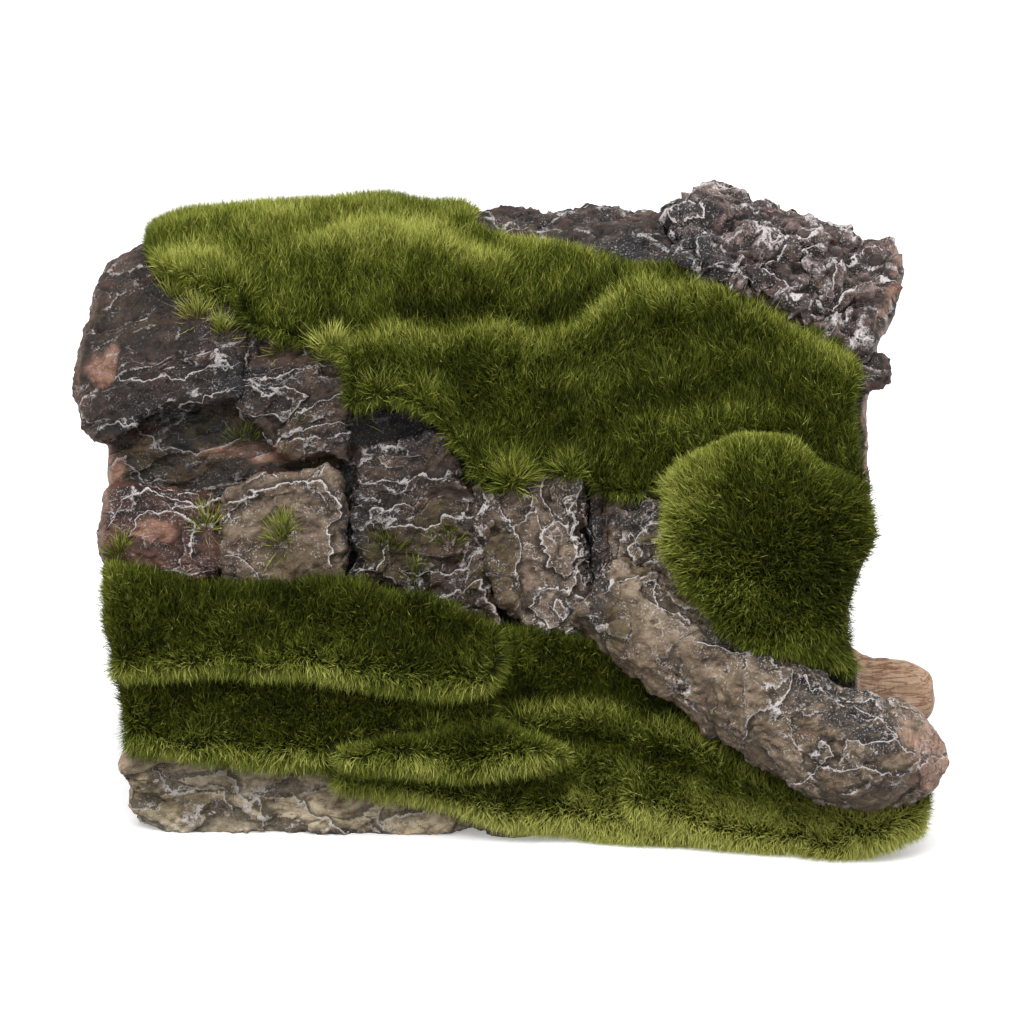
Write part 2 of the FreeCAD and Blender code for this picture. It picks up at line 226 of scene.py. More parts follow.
class Surface:
    """Vertices and triangles in design millimetres, with the sums a relief needs."""

    def __init__(self, obj):
        depsgraph = bpy.context.evaluated_depsgraph_get()
        mesh = bpy.data.meshes.new_from_object(obj.evaluated_get(depsgraph))
        mesh.calc_loop_triangles()
        count = len(mesh.vertices)
        points = np.empty(count * 3)
        mesh.vertices.foreach_get("co", points)
        self.points = points.reshape(-1, 3) / MM - SHIFT
        tris = np.empty(len(mesh.loop_triangles) * 3, dtype=np.int32)
        mesh.loop_triangles.foreach_get("vertices", tris)
        self.tris = tris.reshape(-1, 3)
        edges = np.empty(len(mesh.edges) * 2, dtype=np.int32)
        mesh.edges.foreach_get("vertices", edges)
        self.edges = edges.reshape(-1, 2)
        self.degree = np.maximum(np.bincount(self.edges.ravel(), minlength=count), 1)
        bpy.data.meshes.remove(mesh)

    def around(self, values):
        """Mean of the neighbours of each vertex."""
        a, b = self.edges.T
        count = len(self.points)
        total = np.bincount(a, weights=values[b], minlength=count)
        total += np.bincount(b, weights=values[a], minlength=count)
        return total / self.degree

    def smooth(self, rounds):
        for _ in range(rounds):
            self.points = np.stack([self.around(self.points[:, k]) for k in range(3)], axis=1)

    def blurred(self, values, rounds):
        for _ in range(rounds):
            values = self.around(values)
        return values

    def normals(self):
        corners = self.points[self.tris]
        cross = np.cross(corners[:, 1] - corners[:, 0], corners[:, 2] - corners[:, 0])
        total = np.zeros_like(self.points)
        for k in range(3):
            for axis in range(3):
                total[:, axis] += np.bincount(
                    self.tris[:, k], weights=cross[:, axis], minlength=len(self.points))
        return total / np.maximum(np.linalg.norm(total, axis=1, keepdims=True), 1e-9)

    def swell(self):
        """How far each vertex stands out from its neighbours, in tenths of a millimetre."""
        mean = np.stack([self.around(self.points[:, k]) for k in range(3)], axis=1)
        return np.einsum("ij,ij->i", self.points - mean, self.normals()) * 10


def remeshed(node, grain):
    """The CAD node as an even, closed grid of small faces."""
    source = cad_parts[node]
    mesh = source.data.copy()
    mesh.transform(source.matrix_world)
    work = bpy.data.objects.new("work", mesh)
    bpy.context.scene.collection.objects.link(work)
    grid = work.modifiers.new("grid", "REMESH")
    grid.mode = "VOXEL"
    grid.voxel_size = grain * MM
    surface = Surface(work)
    bpy.data.objects.remove(work)
    bpy.data.meshes.remove(mesh)
    return surface


def make_object(name, points, tris, material, shade_smooth):
    points = (points + SHIFT) * MM
    mesh = bpy.data.meshes.new(name)
    mesh.vertices.add(len(points))
    mesh.vertices.foreach_set("co", points.astype(np.float32).ravel())
    mesh.loops.add(tris.size)
    mesh.loops.foreach_set("vertex_index", tris.astype(np.int32).ravel())
    mesh.polygons.add(len(tris))
    mesh.polygons.foreach_set("loop_start", np.arange(0, tris.size, 3, dtype=np.int32))
    mesh.polygons.foreach_set("use_smooth", np.full(len(tris), shade_smooth))
    mesh.update(calc_edges=True)
    mesh.materials.append(material)
    obj = bpy.data.objects.new(name, mesh)
    bpy.context.scene.collection.objects.link(obj)
    return obj


def add_values(obj, name, values):
    layer = obj.data.attributes.new(name, "FLOAT", "POINT")
    layer.data.foreach_set("value", values.astype(np.float32))


def up_plane(points):
    """Height of points on the leaning sketch plane."""
    return points[:, 2] * math.cos(LEAN) + (points[:, 1] - SKETCH_FRONT) * math.sin(LEAN)


def outward(points):
    """Direction straight out of the log at each point."""
    out = np.stack([np.zeros(len(points)), points[:, 1] / 43**2, points[:, 2] / 104**2], axis=1)
    return out / np.maximum(np.linalg.norm(out, axis=1, keepdims=True), 1e-9)


# ---------------------------------------------------------------- shader graphs

class Graph:
    """Small helper that builds a material's node tree."""

    def __init__(self, name):
        self.material = bpy.data.materials.new(name)
        self.material.use_nodes = True
        self.nodes = self.material.node_tree.nodes
        self.links = self.material.node_tree.links
        self.shader = self.nodes["Principled BSDF"]
        self.place = self.nodes.new("ShaderNodeTexCoord").outputs["Object"]

    def put(self, socket, value):
        if isinstance(value, bpy.types.NodeSocket):
            self.links.new(value, socket)
        else:
            socket.default_value = value

    def noise(self, grain, detail=3.0, stretch=(1, 1, 1), seed=0.0, distortion=0.0):
        """Noise whose features are about the given size in millimetres."""
        mapping = self.nodes.new("ShaderNodeMapping")
        self.put(mapping.inputs["Vector"], self.place)
        mapping.inputs["Scale"].default_value = [1 / (grain * MM * s) for s in stretch]
        mapping.inputs["Location"].default_value = (seed, seed * 0.7, -seed)
        texture = self.nodes.new("ShaderNodeTexNoise")
        texture.inputs["Scale"].default_value = 1.0
        texture.inputs["Detail"].default_value = detail
        texture.inputs["Roughness"].default_value = 0.6
        texture.inputs["Distortion"].default_value = distortion
        self.put(texture.inputs["Vector"], mapping.outputs["Vector"])
        return texture.outputs["Fac"]

    def value(self, name):
        node = self.nodes.new("ShaderNodeAttribute")
        node.attribute_name = name
        return node.outputs["Fac"]

    def math(self, operation, a, b=0.0):
        node = self.nodes.new("ShaderNodeMath")
        node.operation = operation
        self.put(node.inputs[0], a)
        self.put(node.inputs[1], b)
        return node.outputs[0]

    def band(self, value, low, high):
        """0 where the value is at low and 1 where it is at high, either way round."""
        node = self.nodes.new("ShaderNodeMapRange")
        node.interpolation_type = "SMOOTHSTEP"
        self.put(node.inputs["Value"], value)
        node.inputs["From Min"].default_value = low
        node.inputs["From Max"].default_value = high
        return node.outputs["Result"]

    def ramp(self, value, stops):
        node = self.nodes.new("ShaderNodeValToRGB")
        self.put(node.inputs["Fac"], value)
        elements = node.color_ramp.elements
        while len(elements) < len(stops):
            elements.new(0.5)
        for element, (place, color) in zip(elements, stops):
            element.position = place
            element.color = color
        return node.outputs["Color"]

    def mix(self, amount, a, b, blend="MIX"):
        node = self.nodes.new("ShaderNodeMix")
        node.data_type = "RGBA"
        node.blend_type = blend
        self.put(node.inputs["Factor"], amount)
        self.put(node.inputs[6], a)
        self.put(node.inputs[7], b)
        return node.outputs[2]

    def bump(self, height, depth):
        node = self.nodes.new("ShaderNodeBump")
        node.inputs["Strength"].default_value = 0.8
        node.inputs["Distance"].default_value = depth * MM
        self.put(node.inputs["Height"], height)
        self.put(self.shader.inputs["Normal"], node.outputs["Normal"])


def edge_paint(g, lip, width, reach):
    """Dry-brushed white on the raised side of a flake's edge, and painted shadow on the low side."""
    white = g.math("MULTIPLY", g.band(lip, 0.0, 0.1), g.band(lip, width + 0.15, width))
    dark = g.math("MULTIPLY", g.band(lip, -reach, -reach * 0.2), g.band(lip, 0.1, 0.0))
    return white, dark


def bark_material(name, dark, mid, light, red, olive, white, dust, seed):
    """Painted bark: a washed base, stains, painted shade in crevices, hollows, given spots and below flake
    edges, and dry-brushed flake edges.
    """
    g = Graph(name)
    broad = g.noise(9.0, 4.0, (1.6, 1, 0.8), seed)
    small = g.noise(1.6, 4.0, (1.5, 1, 1), seed + 3)
    fine = g.noise(0.4, 2.0, seed=seed + 5)
    patchy = g.noise(4.5, 4.0, seed=seed + 31)
    broken = g.noise(1.4, 4.0, seed=seed + 37)
    tone = g.math("ADD", g.math("MULTIPLY", broad, 0.55), g.math("MULTIPLY", small, 0.45))
    color = g.ramp(tone, [(0.38, dark), (0.5, mid), (0.64, light)])
    stain = g.band(g.noise(6.0, 4.0, (2, 1, 1), seed + 11), 0.62 - red * 0.25, 0.8 - red * 0.1)
    color = g.mix(g.math("MULTIPLY", stain, 0.55), color, srgb(104, 58, 42))
    algae = g.band(g.noise(7.0, 4.0, (1, 1, 1.5), seed + 17), 0.62 - olive * 0.25, 0.8 - olive * 0.1)
    algae = g.math("MAXIMUM", algae, g.math("MULTIPLY", g.value("algae"), g.band(small, 0.35, 0.55)))
    color = g.mix(g.math("MULTIPLY", algae, 0.6), color, srgb(76, 66, 26))
    color = g.mix(g.math("MULTIPLY", g.value("tan"), 0.7), color, srgb(162, 121, 102))
    color = g.mix(g.math("MULTIPLY", g.value("cut"), 0.85), color, cut_color(g, seed))
    # Painted shade: blue-black over the given shade spots.
    painted_shade = g.math("MULTIPLY", g.value("painted_shade"), g.band(broken, 0.7, 0.45))
    color = g.mix(g.math("MULTIPLY", painted_shade, 0.85), color, srgb(27, 29, 33))
    ragged = g.math("ADD", g.math("MULTIPLY", fine, 0.5), g.math("MULTIPLY", broken, 0.7))
    ragged = g.math("SUBTRACT", ragged, 0.6)
    lip_big = g.math("ADD", g.value("lip_big"), ragged)
    lip_small = g.math("ADD", g.value("lip_small"), ragged)
    lip_drawn = g.math("ADD", g.value("lip_drawn"), ragged)
    white_big, shadow_big = edge_paint(g, lip_big, 0.16, 1.0)
    white_small, shadow_small = edge_paint(g, lip_small, 0.08, 0.5)
    white_drawn, shadow_drawn = edge_paint(g, lip_drawn, 0.22, 1.3)
    # Painted shade: near-black in crevices and hollows, and painted shadow along the low side of flake
    # edges.
    shade = g.band(g.value("cavity"), 0.12, 0.9)
    foot = g.math("MAXIMUM", shadow_big, g.math("MULTIPLY", shadow_small, 0.5))
    foot = g.math("MAXIMUM", foot, shadow_drawn)
    shade = g.math("MAXIMUM", shade, g.math("MULTIPLY", foot, 0.8))
    color = g.mix(g.math("MULTIPLY", shade, 0.9), color, srgb(15, 11, 9))
    edge = g.math("MULTIPLY", white_big, g.band(patchy, 0.42, 0.54))
    tiny = g.math("MULTIPLY", white_small, g.band(patchy, 0.48, 0.6))
    edge = g.math("MAXIMUM", edge, g.math("MULTIPLY", tiny, 0.9))
    edge = g.math("MULTIPLY", edge, g.band(broken, 0.36, 0.52))
    edge = g.math("MAXIMUM", edge, g.math("MULTIPLY", white_drawn, g.band(broken, 0.24, 0.4)))
    rub = g.math("MULTIPLY", g.band(g.value("crest"), 0.5, 1.0), g.band(small, 0.46, 0.64))
    rub = g.math("MULTIPLY", rub, g.band(fine, 0.46, 0.6))
    dusty = g.math("MULTIPLY", g.band(g.value("lip_drawn"), -0.2, 0.4),
                   g.band(g.value("lip_drawn"), 2.8, 0.6))
    dusty = g.math("MAXIMUM", g.band(patchy, 0.42, 0.6), dusty)
    dusty = g.math("MAXIMUM", g.math("MULTIPLY", g.value("painted_shade"), 0.8), dusty)
    specks = g.math("MULTIPLY", g.band(fine, 0.58, 0.66), dusty)
    paint = g.math("MAXIMUM", edge, g.math("MULTIPLY", rub, 0.4))
    paint = g.math("MAXIMUM", g.math("MULTIPLY", paint, white), g.math("MULTIPLY", specks, dust * 0.7))
    color = g.mix(paint, color, srgb(206, 199, 197))
    g.put(g.shader.inputs["Base Color"], color)
    g.put(g.shader.inputs["Roughness"], g.math("ADD", g.math("MULTIPLY", small, 0.25), 0.42))
    g.shader.inputs["Specular IOR Level"].default_value = 0.3
    g.bump(g.math("ADD", g.math("MULTIPLY", small, 0.7), g.math("MULTIPLY", fine, 0.3)), 1.1)
    return g.material


def cut_color(g, seed, stretch=(0.6, 3, 3)):
    """Bare wood painted on the broken ends: tan with red-brown grain."""
    grain = g.noise(1.1, 4.0, stretch, seed + 23, 0.8)
    patch = g.noise(7.0, 3.0, seed=seed + 29)
    wood = g.ramp(grain, [(0.36, srgb(128, 92, 76)), (0.47, srgb(172, 138, 118)),
                          (0.62, srgb(196, 168, 148))])
    return g.mix(g.band(patch, 0.55, 0.75), wood, srgb(158, 112, 98))


def wood_material(name, seed):
    g = Graph(name)
    color = cut_color(g, seed, (6, 2, 0.8))
    color = g.mix(0.45, color, srgb(206, 172, 130))
    line = g.noise(2.2, 3.0, (5, 2, 0.5), seed + 41, 0.6)
    line = g.math("MULTIPLY", g.band(line, 0.44, 0.5), g.band(line, 0.56, 0.5))
    color = g.mix(g.math("MULTIPLY", line, 0.8), color, srgb(120, 70, 46))
    # Painted shade: darker brown in the hollows of the cut wood.
    shade = g.band(g.value("cavity"), 0.1, 0.9)
    color = g.mix(g.math("MULTIPLY", shade, 0.8), color, srgb(84, 50, 36))
    g.put(g.shader.inputs["Base Color"], color)
    small = g.noise(1.2, 4.0, (0.7, 3, 3), seed)
    g.put(g.shader.inputs["Roughness"], g.math("ADD", g.math("MULTIPLY", small, 0.25), 0.45))
    g.bump(small, 0.4)
    return g.material


def mat_material():
    """The glue and fibre roots under the moss: dark green, with painted shade that makes it nearly black in
    the dips of its bump.
    """
    g = Graph("moss_mat")
    grain = g.noise(0.5, 3.0, (1, 1, 2))
    patch = g.noise(5.0, 3.0)
    color = g.ramp(grain, [(0.35, srgb(18, 21, 8)), (0.55, srgb(40, 46, 15)),
                           (0.75, srgb(70, 78, 26))])
    color = g.mix(g.band(patch, 0.5, 0.75), color, srgb(50, 55, 18))
    g.put(g.shader.inputs["Base Color"], color)
    g.put(g.shader.inputs["Roughness"], g.math("ADD", g.math("MULTIPLY", grain, 0.2), 0.75))
    g.shader.inputs["Specular IOR Level"].default_value = 0.05
    g.bump(grain, 0.5)
    return g.material


def fiber_material():
    """Nylon fibres: u picks a fibre's tone, which carries painted highlight and shade, and v runs from its
    root to its tip.
    """
    g = Graph("moss_fiber")
    node = g.nodes.new("ShaderNodeUVMap")
    node.uv_map = "OFBake"
    split = g.nodes.new("ShaderNodeSeparateXYZ")
    g.put(split.inputs["Vector"], node.outputs["UV"])
    shade, along = split.outputs["X"], split.outputs["Y"]
    root = g.ramp(shade, [(0.0, srgb(16, 19, 7)), (0.5, srgb(42, 49, 16)), (1.0, srgb(108, 113, 36))])
    tip = g.ramp(shade, [(0.0, srgb(40, 48, 14)), (0.35, srgb(81, 91, 30)),
                         (0.65, srgb(138, 148, 48)), (1.0, srgb(216, 218, 118))])
    # Painted shade: each fibre darkens toward its root, down in the moss bed.
    g.put(g.shader.inputs["Base Color"], g.mix(g.band(along, 0.0, 0.9), root, tip))
    g.put(g.shader.inputs["Roughness"], g.math("ADD", g.math("MULTIPLY", along, 0.12), 0.45))
    g.shader.inputs["Specular IOR Level"].default_value = 0.15
    return g.material


# ---------------------------------------------------------------- bark

def turned(points, tilt):
    """Points turned about the front-to-back axis, so that flakes can run at a slant."""
    run, lift = math.cos(tilt), math.sin(tilt)
    return np.stack([points[:, 0] * run + points[:, 2] * lift, points[:, 1],
                     points[:, 2] * run - points[:, 0] * lift], axis=1)


def cells(points, size, stretch, tilt, seed):
    """Heights of the flake at each point and of its neighbour, and the way to their edge in mm."""
    place = turned(points, tilt) / (np.array([stretch, 1.0, 1.0]) * size)
    for grain, amount in ((1.0, 0.30), (2.7, 0.13), (7.0, 0.05)):
        ragged = [noise(place * grain + 9.7 * grain, seed + k) for k in (31, 32, 33)]
        place = place + np.stack(ragged, axis=1) * amount
    corner = np.floor(place).astype(np.int64)
    first, second = np.full(len(points), 9.0), np.full(len(points), 9.0)
    height, beside = np.zeros(len(points)), np.zeros(len(points))
    for step in np.ndindex(3, 3, 3):
        cell = corner + np.array(step) - 1
        center = cell + np.stack([lattice(cell, seed + k) for k in range(3)], axis=1)
        far = np.linalg.norm(place - center, axis=1)
        level = lattice(cell, seed + 9)
        nearer, next_one = far < first, (far >= first) & (far < second)
        beside = np.where(nearer, height, np.where(next_one, level, beside))
        second = np.where(nearer, first, np.where(next_one, far, second))
        height = np.where(nearer, level, height)
        first = np.where(nearer, far, first)
    return height, beside, (second - first) * 0.5 * size


def flakes(points, size, stretch, tilt, seed):
    """Relief from 0 to 1 of overlapping flakes, and the signed way in mm to their edges."""
    height, beside, edge = cells(points, size, stretch, tilt, seed)
    rise = height - beside
    relief = beside + rise * (0.5 + 0.5 * smoothstep(0.0, 0.5, edge))
    strong = smoothstep(0.08, 0.3, np.abs(rise))
    relief += 0.3 * strong * (rise > 0) * np.exp(-((edge - 0.35) / 0.4) ** 2)
    lip = np.where(strong > 0.3, edge * np.sign(rise), 3.0)
    return relief, np.clip(lip, -3.0, 3.0)


def crags(points, size, stretch, tilt, seed):
    """Relief from 0 to 1 of hollows between sharp crests, and the way to a crest.

    The way is scaled by the hollows' size, so that paint on a big crest is the broader.
    """
    height, _, edge = cells(points, size, stretch, tilt, seed)
    strong = smoothstep(-0.35, 0.25, noise(points / size, seed + 61))
    crest = strong * (0.65 * np.exp(-edge / 1.1) + 0.35 * np.exp(-(edge / 0.5) ** 2))
    relief = 0.25 + 0.35 * height + 0.8 * crest
    lip = np.where(strong > 0.35, edge * 6.0 / size + 0.05, 3.0)
    return relief, np.clip(lip, -3.0, 3.0)


def line_height(x, line):
    """Height of a hand-drawn line at x, and how fully it is there (it fades at its ends)."""
    line_x, line_up = zip(*line)
    there = smoothstep(line_x[0] - 2.0, line_x[0] + 2.0, x)
    there *= 1 - smoothstep(line_x[-1] - 2.0, line_x[-1] + 2.0, x)
    return np.interp(x, line_x, line_up), there


def inside_outline(flat, line):
    """Whether each point lies inside a closed line."""
    inside = np.zeros(len(flat), dtype=bool)
    for (start_x, start_up), (end_x, end_up) in zip(line[:-1], line[1:]):
        crossed = (flat[:, 1] > start_up) != (flat[:, 1] > end_up)
        part = (flat[:, 1] - start_up) / ((end_up - start_up) or 1.0)
        inside ^= crossed & (flat[:, 0] < start_x + part * (end_x - start_x))
    return inside


def line_distance(flat, line):
    """Way in mm from each point to a line, positive on the line's proud side."""
    best, side = np.full(len(flat), 99.0), np.ones(len(flat))
    for start, end in zip(line[:-1], line[1:]):
        along = np.subtract(end, start)
        part = np.clip((flat - start) @ along / (along @ along), 0.0, 1.0)
        gap = flat - start - part[:, None] * along
        far = np.hypot(gap[:, 0], gap[:, 1])
        turn = along[0] * gap[:, 1] - along[1] * gap[:, 0]
        side = np.where(far < best, np.sign(turn), side)
        best = np.minimum(far, best)
    if line[0] == line[-1]:
        side = np.where(inside_outline(flat, line), 1.0, -1.0)
    return best * side


def drawn_flakes(points, edges):
    """Relief of the given flake edges, and the signed way in mm to the nearest of them."""
    front = points[:, 1] < 12.0
    flat = np.stack([points[:, 0], up_plane(points)], axis=1)
    for grain, amount in ((4.0, 0.9), (1.5, 0.6), (0.7, 0.35)):
        ragged = [noise(points / grain, 78), noise(points / grain, 79)]
        flat = flat + np.stack(ragged, axis=1) * amount
    relief, lip = np.zeros(len(points)), np.full(len(points), 3.0)
    for rise, line in edges:
        way = line_distance(flat, line)
        step = smoothstep(-0.4, 0.4, way) * np.exp(-np.maximum(way, 0) / 4.0)
        relief += rise * (0.7 * step + 0.3 * np.exp(-(way / 0.6) ** 2))
        lip = np.where(np.abs(way) < np.abs(lip), way, lip)
    return relief * front, np.where(front, lip, 3.0)


def spot_amount(points, spots):
    """How strongly each point lies in the given soft spots, for washes of paint and for painted shade."""
    up = up_plane(points)
    amount = np.zeros(len(points))
    for x, height, wide, tall in spots:
        far = np.hypot((points[:, 0] - x) / wide, (up - height) / tall)
        far += 0.35 * noise(points / 3.5, 71) + 0.2 * noise(points / 1.3, 72)
        amount = np.maximum(amount, smoothstep(1.25, 0.7, far))
    return amount * (points[:, 1] < 12.0)


def carve(surface, look, seed):
    """Turn a smooth piece into flaked bark, and return the values its paint and its painted shade need."""
    base = surface.points
    drift = [noise(base / 7.0, seed + k) + 0.5 * noise(base / 3.0, seed + k + 5) for k in range(3)]
    surface.points = base + np.stack(drift, axis=1) * look["wander"]
    normals = surface.normals()
    style = crags if look["craggy"] else flakes
    big, lip_big = style(base, look["size"], look["stretch"], look["tilt"], seed)
    small, lip_small = style(base, look["size"] * 0.36, look["stretch"], look["tilt"], seed + 50)
    drawn, lip_drawn = drawn_flakes(base, look["edges"])
    relief = (big - 0.6) * look["depth"] + (small - 0.5) * look["depth"] * 0.55 + drawn
    relief += fractal(base / 1.3, 3, seed + 70, 0.6) * look["fine"]
    relief *= 1 - 0.8 * look["cut"]
    surface.points = surface.points + normals * relief[:, None]
    surface.points[:, 2] = np.maximum(surface.points[:, 2], 0.0)
    bulge = surface.blurred(surface.swell(), 1)
    stand = relief - surface.blurred(relief, 16)
    crest = np.clip(bulge * 0.6, 0, 1) * np.clip(0.6 + stand, 0, 1)
    cavity = np.clip(-bulge * 0.35, 0, 1) * 0.6 + np.clip(-stand * 0.8, 0, 1) * 0.8
    if look["craggy"]:
        cavity += np.clip(surface.blurred(relief, 80) - relief, 0, 1) * 1.1
    return {"crest": np.clip(crest, 0, 1), "cavity": np.clip(cavity, 0, 1), "lip_big": lip_big,
            "lip_small": lip_small, "lip_drawn": lip_drawn, "painted_shade": spot_amount(base, SHADE_SPOTS),
            "tan": spot_amount(base, TAN), "algae": spot_amount(base, ALGAE)}


def end_mask(surface):
    """1 on the broken ends of the log, where bare wood is painted."""
    x = surface.points[:, 0]
    normals = surface.normals()
    left = smoothstep(0.35, 0.75, -normals[:, 0]) * smoothstep(-70, -74, x)
    right = smoothstep(0.35, 0.6, normals[:, 0]) * smoothstep(60, 64, x)
    return np.maximum(left, right)


def finish_piece(obj, node):
    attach(obj, "root")
    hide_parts(node)
    return obj


built = []


def bark_piece(node, material, seed, grain=FINE, size=9.0, stretch=1.6, tilt=0.0,
               depth=1.6, wander=1.0, soften=5, fine=0.42, shape=None, ends=1.0, craggy=False):
    surface = remeshed(node, grain)
    surface.smooth(soften)
    surface.points = surface.points + surface.normals() * 0.06 * soften
    if shape:
        surface.points = shape(surface)
    cut = end_mask(surface) * ends
    look = {"size": size, "stretch": stretch, "tilt": tilt, "depth": depth, "wander": wander,
            "fine": fine, "craggy": craggy, "cut": cut, "edges": EDGES.get(node, [])}
    values = carve(surface, look, seed)
    values["cut"] = cut
    obj = make_object(node + "_bark", surface.points, surface.tris, material, True)
    for name, value in values.items():
        add_values(obj, name, value)
    built.append(surface)
    return finish_piece(obj, node)


def lumps(size, height, seed, start=-200.0, spread=0.0, profile=((0.0, 0.0),)):
    """Shape function that swells a piece into broad lumps, fading out left of an x of start.

    The profile gives how far the piece is raised at each x, and spread lengthens it.
    """
    def shape(surface):
        points = surface.points
        swell = noise(points / size, seed) + 0.5 * noise(points / size * 2, seed + 1)
        swell *= height * smoothstep(start - 2.0, start + 8.0, points[:, 0])
        swell += np.interp(points[:, 0], *zip(*profile))
        moved = points + surface.normals() * swell[:, None]
        moved[:, 0] += (points[:, 0] - points[:, 0].mean()) * spread
        return moved
    return shape


def make_bark():
    brown = bark_material("bark_brown", srgb(25, 18, 14), srgb(62, 47, 38), srgb(98, 78, 64),
                          red=0.35, olive=0.3, white=0.7, dust=0.5, seed=1.0)
    stub = bark_material("bark_stub", srgb(18, 13, 10), srgb(40, 30, 25), srgb(70, 54, 45),
                         red=0.4, olive=0.25, white=0.7, dust=0.4, seed=1.5)
    ridge = bark_material("bark_ridge", srgb(20, 17, 17), srgb(54, 44, 39), srgb(106, 90, 80),
                          red=0.4, olive=0.15, white=0.8, dust=0.6, seed=2.0)
    knoll = bark_material("bark_knoll", srgb(26, 21, 22), srgb(70, 57, 54), srgb(146, 124, 116),
                          red=0.35, olive=0.1, white=1.0, dust=0.85, seed=2.4)
    pink = bark_material("bark_pink", srgb(50, 39, 31), srgb(110, 92, 76), srgb(150, 132, 114),
                         red=0.25, olive=0.3, white=0.95, dust=0.9, seed=3.0)
    root = bark_material("bark_root", srgb(64, 51, 40), srgb(124, 106, 86), srgb(160, 142, 122),
                         red=0.15, olive=0.2, white=0.9, dust=1.0, seed=3.2)
    # Lighter copy of the bark for the base: painted light, standing in for light bounced up from the floor.
    lit_base = bark_material("bark_base", srgb(104, 88, 68), srgb(194, 176, 146), srgb(232, 216, 188),
                         red=0.15, olive=0.35, white=0.8, dust=0.6, seed=3.5)
    stone = bark_material("stone_red", srgb(38, 23, 18), srgb(72, 47, 38), srgb(102, 73, 60),
                          red=0.5, olive=0.1, white=0.9, dust=0.7, seed=4.0)
    # Near-black shell colour: painted shade where the shell shows in the recesses between the front pieces.
    recess_shade = bark_material("recess_shade", srgb(9, 8, 7), srgb(34, 27, 20), srgb(74, 56, 36),
                           red=0.35, olive=0.5, white=0.35, dust=0.3, seed=5.0)
    under = bark_material("moss_bed", srgb(14, 14, 6), srgb(30, 30, 12), srgb(48, 44, 20),
                          red=0.1, olive=0.7, white=0.0, dust=0.0, seed=6.0)
    wood = wood_material("cut_wood", 7.0)
    # after the seed: grain, flake size, stretch, tilt, depth, wander, rounds of smoothing
    bark_piece("log_shell", recess_shade, 3, 0.7, 8.0, 3.0, 0.1, 1.6, 0.5, 3)
    for node in ("crown_bed", "cushion_core", "ledge_upper", "ledge_middle", "ledge_lower",
                 "skirt_bed"):
        bark_piece(node, under, 5, COARSE, 6.0, 1.5, 0.0, 0.6, 0.4, 2)
    bark_piece("left_log_stub", stub, 11, FINE, 9.5, 2.4, 0.25, 0.9, 0.9, 7, ends=0.25)
    bark_piece("bark_plate_left", brown, 12, FINE, 7.0, 1.9, 0.25, 1.2, 1.0, 5)
    bark_piece("boulder_left", stone, 13, FINE, 13.0, 1.4, 0.0, 0.6, 0.9, 12, ends=0.5)
    bark_piece("boulder_middle", pink, 14, FINE, 12.0, 1.0, 0.0, 0.6, 0.9, 12)
    bark_piece("center_slab", brown, 15, FINE, 6.0, 1.4, 0.2, 1.4, 1.3, 4, 0.4)
    bark_piece("pillar_bark", pink, 16, FINE, 6.0, 0.8, 0.0, 1.2, 1.0, 5, 0.4)
    bark_piece("crevice_stem", brown, 17, FINE, 5.0, 0.6, 0.0, 0.7, 0.4, 3)
    bark_piece("right_slab", pink, 18, FINE, 6.0, 0.9, 0.0, 1.2, 1.0, 5, 0.4)
    bark_piece("front_root", root, 19, FINE, 7.0, 1.5, -0.6, 1.2, 0.9, 3, ends=0.8,
               shape=lumps(9.0, 1.3, 44, 48.0))
    bark_piece("base_bark", lit_base, 20, FINE, 6.5, 2.6, 0.0, 1.3, 0.9, 4, ends=0.5)
    bark_piece("ridge_bark_left", ridge, 21, FINE, 5.0, 2.4, -0.1, 1.2, 1.0, 5,
               shape=lumps(9.0, 0.6, 41, spread=0.04, profile=((20, 0), (30, -1.6))), craggy=True)
    bark_piece("ridge_knoll", knoll, 22, FINE, 6.0, 1.4, -0.4, 2.3, 1.3, 8, 0.5,
               shape=lumps(8.0, 1.0, 42, spread=0.03,
                           profile=((30, -4.4), (34, -2.6), (39, 0.4), (48, -2.0), (60, -2.0))), craggy=True)
    bark_piece("ridge_bark_right", knoll, 23, FINE, 6.0, 1.4, -0.5, 2.1, 1.2, 7, 0.5,
               shape=lumps(9.0, 1.3, 43), craggy=True)
    bark_piece("side_knot", ridge, 24, FINE, 6.0, 1.0, 0.0, 0.6, 0.6, 4, ends=0.0)
    bark_piece("rear_root", wood, 25, FINE, 9.0, 2.0, 0.0, 0.4, 0.5, 4, fine=0.15)
    bark_piece("rear_plate_left", brown, 26, MEDIUM, 8.0, 1.8, 0.2, 2.0, 1.2, 3)
    bark_piece("rear_plate_right", ridge, 27, MEDIUM, 8.0, 1.8, 0.1, 2.0, 1.2, 3,
               craggy=True)
    bark_piece("rear_plate_low", pink, 28, MEDIUM, 7.0, 1.8, 0.0, 1.8, 1.2, 3)


# ---------------------------------------------------------------- moss

def height_share(points, top_line, low_line):
    """0 on a mat's upper edge and 1 on its lower rim."""
    top_x, top_up = zip(*top_line)
    low_x, low_up = zip(*low_line)
    top = np.interp(points[:, 0], top_x, top_up)
    low = np.interp(points[:, 0], low_x, low_up)
    return np.clip((top - up_plane(points)) / np.maximum(top - low, 1.0), 0.0, 1.0)


def upper_share(points):
    return height_share(points, [(-80, 56), (-60, 51), (-33, 52), (-14, 47), (-2, 42)],
                        [(-80, 31), (-60, 35), (-41, 34), (-22, 31), (-2, 31)])


def middle_share(points):
    return height_share(points, [(-80, 31), (-60, 35), (-41, 34), (-22, 31), (-2, 30)],
                        [(-80, 21), (-60, 18), (-35, 16), (-34, 19), (-2, 23)])


def lower_share(points):
    return height_share(points, [(-34, 19), (-2, 24), (12, 18)],
                        [(-34, 16), (-12, 15), (9, 16), (12, 17)])


